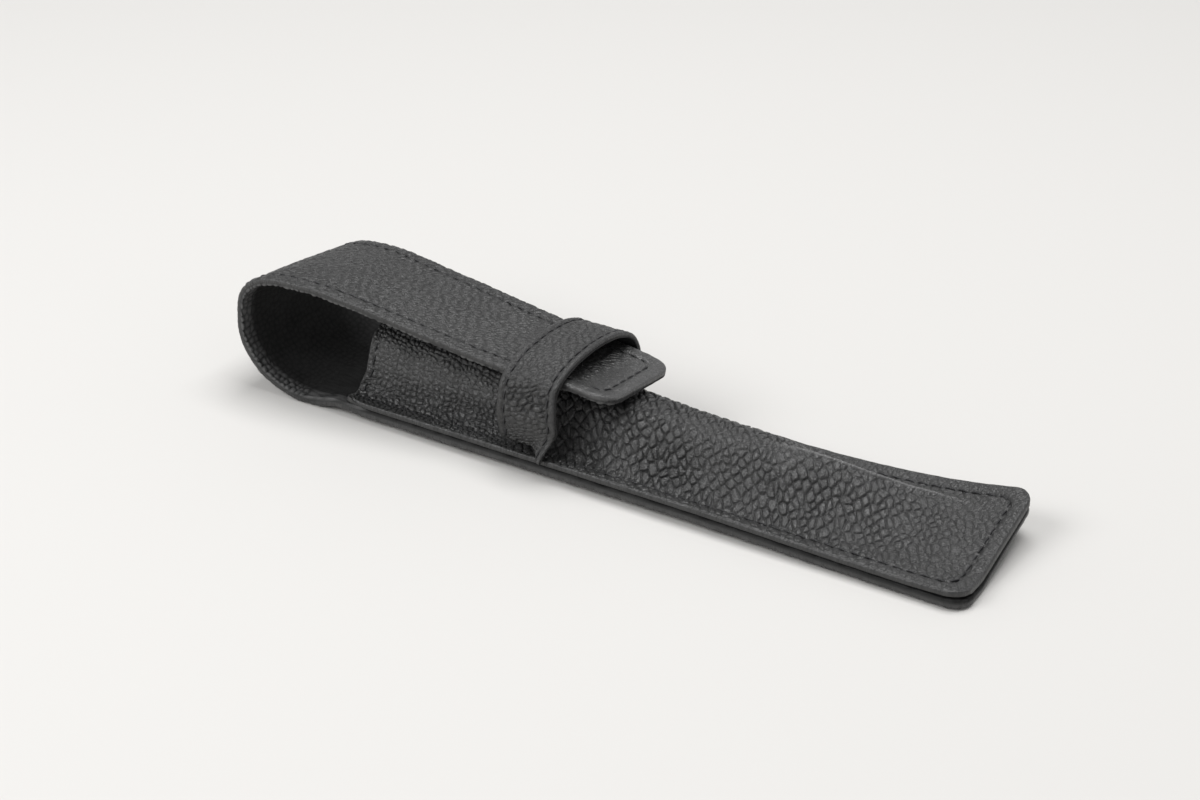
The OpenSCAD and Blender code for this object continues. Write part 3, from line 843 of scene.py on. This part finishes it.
# soft masks, each 1 in the place that it is named after
steepness = np.abs(front_n[..., 1]) / np.maximum(front_n[..., 2], 0.05)
wall = ease((steepness - 1.3) / 1.2) * (1 - ease((fx - X_STRAP_END) / 20))
wall_foot = ease((10.5 - front[..., 2]) / 3)
nose = ease((fx - X_NOSE + 20) / 20)
ridge_top = np.where(from_ridge > 0, nose, 1.0) * (1 - ease((np.abs(from_ridge) - 1.0) / 6.5))
ridge_top = np.maximum(ridge_top, 0.8 * ease(from_ridge / 2) * nose)
past_strap = ease((fx - X_STRAP_END - 2) / 10)
at_end = ease((fx - X_END + 34) / 26)
by_mouth = 1 - ease((fx - X_STRAP + 4) / 8)
pinch = (bell(from_ridge + 0.2 * noise(fx, fx * 0, 4.0, 23), 0.5)
         * ease((fx - RIDGE_FROM) / 14) * (1 - ease((fx - RIDGE_TO + 12) / 12)))

# the grain is deep where the leather is slack, and shallow where a wall or the ridge
# stretches it and along the edges
slack = (1 - 0.65 * wall * (1 - wall_foot)) * (1 - 0.6 * ridge_top) * (1 - 0.5 * at_end)
slack *= mix(mix(0.8, 0.4, past_strap), 1.0, ease((from_edges - 2.8) / 1.8))
across, down = fx + 0.2 * fv, fv * 0.75
big = pebbles(0.71 * (across + down), 0.71 * (across - down), size=1.72, seed=5, crack=0.27)
fine = pebbles(0.8 * fx + 0.1 * fv, fv, size=1.15, seed=25, crack=0.33)
small = pebbles(fx, fv, size=0.8, seed=9)
crush = np.clip(0.4 + 0.6 * noise(fx, fv, 5.0, 13), 0, 1)
front_grain = mix(big, fine, by_mouth) * mix(1.0, 0.7 + 0.3 * small, crush)
front_depth = mix(0.1, 0.56, slack) * (1 + 0.3 * bell(fx - 12, 16))
front_creases = 0.025 * noise(fx / 5, fv, 0.65, 15) + 0.02 * noise(fx, fv, 0.45, 17)
seam_groove = bell(from_edges - SEAM_MARGIN + 0.15 * noise(fx, fv * 0, 6.0, 19), 0.42)
mouth_groove = bell(fx - X_MOUTH - TRIM_MARGIN, GROOVE_W) * ease((from_edges - 4) / 1.5)
seam_bead = (0.18 * swelling(from_edges, SEAM_MARGIN)
             + 0.12 * swelling(fx - X_MOUTH, TRIM_MARGIN))


def part_of(path, lo, hi):
    """The part of a path whose x lies from lo to hi."""
    keep = (path[0][:, 0] >= lo) & (path[0][:, 0] <= hi)
    return path[0][keep], path[1][keep]


# the seam has stitches before the strap, and from behind it round the closed end
near_path = (front[:, margin_col], front_n[:, margin_col])
far_path = (front[:, -1 - margin_col], front_n[:, -1 - margin_col])
seam_cols = np.arange(margin_col, front.shape[1] - margin_col)
last_row = len(front) - 1 - margin_col
before_strap = (X_MOUTH + TRIM_MARGIN, X_STRAP - 0.2)
behind_strap = (X_STRAP_END + 0.2, X_END - SEAM_MARGIN)
seam_rows = [part_of(near_path, *before_strap), part_of(far_path, *before_strap),
             joined(part_of(near_path, *behind_strap),
                    (front[last_row, seam_cols], front_n[last_row, seam_cols]),
                    backwards(part_of(far_path, *behind_strap)))]
mouth_row = int(np.argmin(np.abs(fx[:, 0] - X_MOUTH - TRIM_MARGIN)))
mouth_cols = seam_cols[8:-8]
mouth_rows = [(front[mouth_row, mouth_cols], front_n[mouth_row, mouth_cols])]
front_pits = dimples(front, seam_rows + mouth_rows)

front_relief = (front_depth * (front_grain - 0.8) * ease((front_d - 0.2) / 0.8)
                * (1 - 0.7 * pinch) + front_creases + 0.42 * pinch
                - mix(0.06, 0.16, past_strap) * seam_groove - 0.12 * mouth_groove
                + mix(0.4, 1.0, past_strap) * seam_bead - PIT_DEPTH * front_pits)
# painted light at the foot of the walls, against the shade of the concave corner and for the glints
# on its pebbles, and a painted highlight along the pinched ridge; elsewhere painted shade in the
# creases, grooves and stitch holes
foot_painted_light = (bell(np.abs(front[..., 1]) - 15.5, 2.2)
              * (1 - ease((fx - X_STRAP_END - 4) / 14)))
front_tone = (0.5 * foot_painted_light
              + darkened(mix(0.8, 0.2 + 0.95 * front_grain, np.clip(slack + 0.15, 0, 1)),
                         seam_groove, front_pits, by=0.25)
              + 2.6 * pinch)
# the cut edge of the outer leather is rolled down over the lining's
front_t = FRONT_T + 0.3 * (front_d < 0.02)
front_panel = leather_layer("front_outer_skin", front, front_n, front_t, front_d, front_uv,
                            front_relief, front_tone, 5, PEBBLED)

inner, inner_n, inner_d, inner_uv = front_grid(0.0, step=1.2, m_mid=44, edge_step=0.5, short=0.42)
inner_grain = pebbles(inner_uv[..., 0], inner_uv[..., 1], size=1.3, seed=67, crack=0.4)
front_inner = leather_layer("front_lining_skin", inner, -inner_n,
                            np.full(inner_d.shape, FRONT_LINING_T), inner_d, inner_uv,
                            0.02 * (inner_grain - 0.6) * ease((inner_d - 0.5) / 1.0),
                            np.clip(0.3 + 0.6 * inner_grain, 0, 1), 2, LINING)
seam_stitches = stitches("seam_stitches", seam_rows)
mouth_stitches = stitches("mouth_stitches", mouth_rows)
under_stitches = stitches("underside_stitches", [back_path])


# -------------------------------------------- the strap
def curve(points, steps):
    """A smooth curve through a list of points, with so many steps from each to the next."""
    out = []
    n = len(points) - 1
    for i in range(n):
        p0, p1 = points[max(0, i - 1)], points[i]
        p2, p3 = points[i + 1], points[min(n, i + 2)]
        for k in range(steps):
            t = k / steps
            out.append(0.5 * (2 * p1 + (p2 - p0) * t + (2 * p0 - 5 * p1 + 4 * p2 - p3) * t * t
                              + (3 * p1 - p0 - 3 * p2 + p3) * t ** 3))
    out.append(points[-1])
    return np.array(out)


FOOT_Z = float(pocket_z(np.array(X_STRAP + STRAP_W / 2), np.array(HALF_W))) + FRONT_STACK
WALL = STRAP_GAP / 2
# inside of the strap from its foot, up the wall and over the shoulder to the crown
KEYS = [(HALF_W - 1.1, FOOT_Z + 0.15), (HALF_W - 1.4, FOOT_Z + 1.6), (WALL - 0.4, FOOT_Z + 4.5),
        (WALL, mix(FOOT_Z, STRAP_TOP, 0.5)), (WALL - 1.2, STRAP_TOP - 4.8),
        (WALL - 2.8, STRAP_TOP - 3.0), (WALL - 5.6, STRAP_TOP - 1.7),
        (WALL - 10.1, STRAP_TOP - 0.5), (0.0, STRAP_TOP)]
LEAN_H = 8


def leaned(p, side):
    return [side * p[0] - STRAP_LEAN * float(ease((p[1] - FOOT_Z) / LEAN_H)), p[1]]


strap_path = [leaned(p, -1) for p in KEYS] + [leaned(p, 1) for p in KEYS[-2::-1]]
strap_line = curve(np.array(strap_path), 24)


def strap_grid(d_out, step, wide_step):
    """The strap's line moved out by d_out, from foot to foot: points, normals, distances from
    the edge and places on the skin."""
    tangent = unit(np.gradient(strap_line, axis=0))
    moved = strap_line + d_out * np.stack([-tangent[:, 1], tangent[:, 0]], 1)
    run = run_along(moved)
    at = span(0, run[-1], step, edge_step=step)
    xs = span(X_STRAP, X_STRAP_END, wide_step, edge_step=wide_step)
    ys, zs = np.interp(at, run, moved[:, 0]), np.interp(at, run, moved[:, 1])
    shape = (len(xs), len(at))
    p = np.stack([np.broadcast_to(xs[:, None], shape), np.broadcast_to(ys, shape),
                  np.broadcast_to(zs, shape)], -1)
    d = np.minimum(np.minimum(xs - X_STRAP, X_STRAP_END - xs)[:, None],
                   np.minimum(at, run[-1] - at)[None, :])
    n = grid_normals(p)
    if n[len(xs) // 2, len(at) // 2, 2] < 0:
        n = -n
    uv = np.stack([p[..., 0], np.broadcast_to(at - run[-1] / 2, shape)], -1)
    # the feet are drawn in along the seam
    low = 1 - ease((p[..., 2] - FOOT_Z) / 7.0)
    share = (uv[..., 0] - X_STRAP) / STRAP_W
    near_side = p[..., 1] < 0
    p[..., 0] -= FOOT_SHIFT * low * share ** 2 * np.where(near_side, 1.0, 0.5)
    # the near foot is caught in the wall's foot, and only its last corner reaches the edge
    near_foot = low ** 2 * near_side
    reach = ease((share - 0.6) / 0.4)
    p[..., 1] += near_foot * mix(1.9, -1.7, reach)
    p[..., 2] += near_foot * mix(0.9, -0.7, reach)
    # the edges wander, the walls are wavy, and the far shoulder stands in
    p[..., 0] += ragged(uv[..., 1], 321) * (1 - share) + ragged(uv[..., 1], 325) * share
    p[..., 0] += 0.5 * np.sin((p[..., 2] - FOOT_Z) / 4.0) * (1 - low) * share
    p[..., 1] -= 0.4 * ease((p[..., 1] - 10) / 6)
    return p, n, d, uv


strap, strap_n, strap_d, strap_uv = strap_grid(STRAP_STACK, SKIN_STEP, SKIN_STEP)
sx, sv = strap_uv[..., 0], strap_uv[..., 1]
from_sides = np.minimum(sx - X_STRAP, X_STRAP_END - sx)
row_a = int(np.argmin(np.abs(sx[:, 0] - X_STRAP - TRIM_MARGIN)))
row_b = int(np.argmin(np.abs(sx[:, 0] - X_STRAP_END + TRIM_MARGIN)))
lengthwise = np.arange(4, strap.shape[1] - 4)
strap_rows = [(strap[r, lengthwise], strap_n[r, lengthwise]) for r in (row_a, row_b)]

# fine grain on the crown, rough and deep where the leather is crushed: shoulders and feet
shoulder = np.exp(-((strap[..., 2] - (STRAP_TOP - 7.5)) / 5.5) ** 4)
foot = ease((FOOT_Z + 5 - strap[..., 2]) / 4)
rough = (np.clip(0.85 * shoulder + 0.7 * foot, 0, 1)
         * mix(0.3, 1.0, ease((from_sides - TRIM_MARGIN) / 0.6)))
fine_u, fine_v = turned(sx, sv)
big_u, big_v = turned(sx, sv, 0.95, 0.3)
strap_grain = mix(pebbles(fine_u / 1.7, fine_v, size=1.0, seed=71, crack=0.35),
                  pebbles(big_u / 1.5, big_v, size=1.3, seed=91, crack=0.4), rough)
strap_creases = 0.04 * noise(sx, sv / 4, 0.7, 77) + 0.03 * noise(sx, sv, 0.45, 79)
strap_groove = bell(from_sides - TRIM_MARGIN, GROOVE_W)
strap_pits = dimples(strap, strap_rows, 0.38)
strap_relief = (mix(0.2, 0.85, rough) * (strap_grain - 0.75)
                * mix(0.35, 1.0, ease((from_sides - 1.9) / 0.8)) + strap_creases
                - 0.14 * strap_groove - 0.12 * strap_pits
                + 0.16 * swelling(from_sides, TRIM_MARGIN))
# painted shade in the grain's creases, the stitch grooves and the stitch holes
strap_tone = darkened(0.25 + 0.7 * strap_grain, strap_groove, strap_pits)
strap_outer = leather_layer("strap_outer_skin", strap, strap_n, np.full(strap_d.shape, STRAP_T),
                            strap_d, strap_uv, strap_relief, strap_tone, 4, SMOOTH)
bed, bed_n, bed_d, bed_uv = strap_grid(0.0, step=0.8, wide_step=0.8)
strap_inner = leather_layer("strap_lining_skin", bed, -bed_n,
                            np.full(bed_d.shape, STRAP_LINING_T), bed_d, bed_uv,
                            np.zeros(bed_d.shape), np.full(bed_d.shape, 0.5), 2, LINING)
strap_stitches = stitches("strap_stitches", strap_rows, radius=0.2)

# -------------------------------------------- what rides on what
for piece in (strip_outer, strip_lining, flap_stitches):
    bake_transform(piece)
for piece in (front_panel, front_inner, seam_stitches, mouth_stitches, under_stitches,
              strap_outer, strap_inner, strap_stitches):
    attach(piece, "pocket")
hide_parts("back_outer", "fold_outer", "flap_outer")
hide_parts("back_lining", "fold_lining", "flap_lining")
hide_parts("fold_thread", "flap_thread")
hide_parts("front_outer")
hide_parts("front_lining")
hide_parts("seam_thread")
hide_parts("mouth_thread")
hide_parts("strap_outer")
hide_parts("strap_lining")
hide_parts("strap_thread")

# -------------------------------------------- floor, light and camera, in metres
bpy.ops.mesh.primitive_plane_add(size=6, location=(0, 0, -0.0001))
floor = bpy.context.object
floor.name = "floor"
paper, paper_tree, paper_bsdf = new_material("pale_floor")
feed(paper_tree, paper_bsdf, {"Base Color": (0.665, 0.655, 0.638, 1), "Roughness": 0.9,
                              "Specular IOR Level": 0.1})
floor.data.materials.append(paper)

# a bright paper sweep low down, darker above it, and the softboxes overhead
world = bpy.data.worlds.new("studio")
bpy.context.scene.world = world
world.use_nodes = True
sky = world.node_tree
ray = add_node(sky, "TexCoord", {}).outputs["Generated"]
height = add_node(sky, "SeparateXYZ", {0: ray}).outputs["Z"]
glow = add_node(sky, "ValToRGB", {"Fac": height})
for stop, position, grey in zip(glow.color_ramp.elements, (0.34, 0.52), (1, 0.35)):
    stop.position = position
    stop.color = (grey, grey, grey, 1)
feed(sky, sky.nodes["Background"], {"Color": glow.outputs["Color"], "Strength": 0.72})


def softbox(name, place, size, power, aim=(0, 0, 0.01)):
    light = bpy.data.lights.new(name, "AREA")
    light.shape = "RECTANGLE"
    light.size, light.size_y = size
    light.energy = power
    obj = bpy.data.objects.new(name, light)
    bpy.context.scene.collection.objects.link(obj)
    obj.location = place
    obj.rotation_mode = "QUATERNION"
    obj.rotation_quaternion = (Vector(aim) - Vector(place)).to_track_quat("-Z", "Y")


softbox("key_light", (0.02, 0.22, 1.03), size=(0.8, 0.6), power=9.0)
softbox("fill_light", (-0.45, -0.75, 0.7), size=(0.7, 0.5), power=7.0)

# the camera's place and axes were fitted to the photograph from the sleeve's own edges
CAMERA_AT = (0.2320, -0.3848, 0.2425)
CAMERA_RIGHT = Vector((0.84725, 0.53094, 0.01616))
CAMERA_UP = Vector((-0.25412, 0.37843, 0.89007))
camera = bpy.data.cameras.new("camera")
camera.lens, camera.sensor_width = 72.0, 36.0
camera.clip_start, camera.clip_end = 0.01, 20
cam = bpy.data.objects.new("camera", camera)
bpy.context.scene.collection.objects.link(cam)
axes = Matrix((CAMERA_RIGHT, CAMERA_UP, CAMERA_RIGHT.cross(CAMERA_UP))).transposed()
cam.matrix_world = Matrix.Translation(CAMERA_AT) @ axes.to_4x4()
bpy.context.scene.camera = cam
bpy.context.scene.view_settings.view_transform = "Standard"
